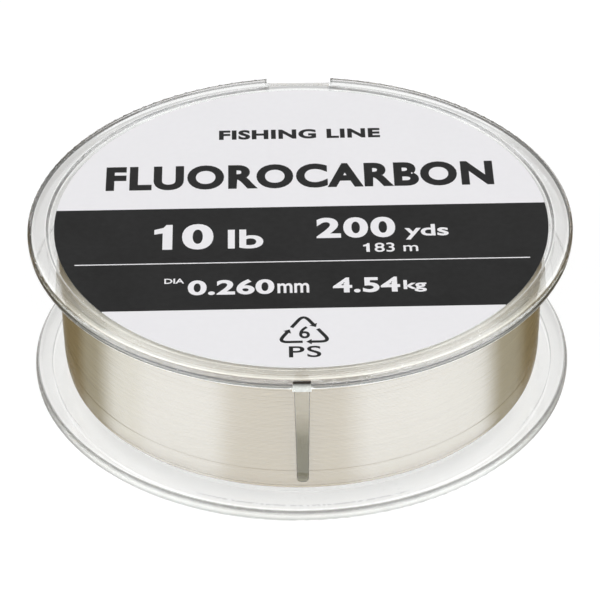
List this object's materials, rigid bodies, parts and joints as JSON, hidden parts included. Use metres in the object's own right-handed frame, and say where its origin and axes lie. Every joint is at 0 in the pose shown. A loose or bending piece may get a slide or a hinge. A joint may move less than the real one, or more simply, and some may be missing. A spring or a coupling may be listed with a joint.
{
  "type": "fishing line spool",
  "caption": "Clear plastic filler spool wound with fine fluorocarbon fishing line, with round end labels, a line notch in the rim and a springy line keeper.",
  "frame": {"origin": "on the spool's axis, level with the rear rim the spool stands on", "axes": "+Z along the spool's axis towards the front label; -Y towards the line keeper; +Y towards the line notch"},
  "size_m": [0.09, 0.09, 0.0278],
  "materials": {
    "clear_plastic": "clear, polished",
    "wound_line": "glossy, finely ribbed",
    "front_print": "satin printed film",
    "rear_print": "satin film",
    "tape": "clear tape"
  },
  "bodies": {
    "spool": {"rear_flange": "clear_plastic", "front_flange": "clear_plastic", "drum_tube": "clear_plastic", "hub_core": "clear_plastic", "line_winding": "wound_line", "front_label": "front_print", "rear_label": "rear_print", "anchor_tape": "tape"},
    "keeper": {"line_keeper": "clear_plastic"}
  },
  "joints": [
    {"name": "keeper_flex", "type": "hinge", "parent": "spool", "child": "keeper", "pos_m": [0, -0.044, 0.02585], "axis": [-1, 0, 0], "range_deg": [0, 9], "stiffness_Nm_per_rad": 0.018, "springref_deg": -1.15}
  ]
}
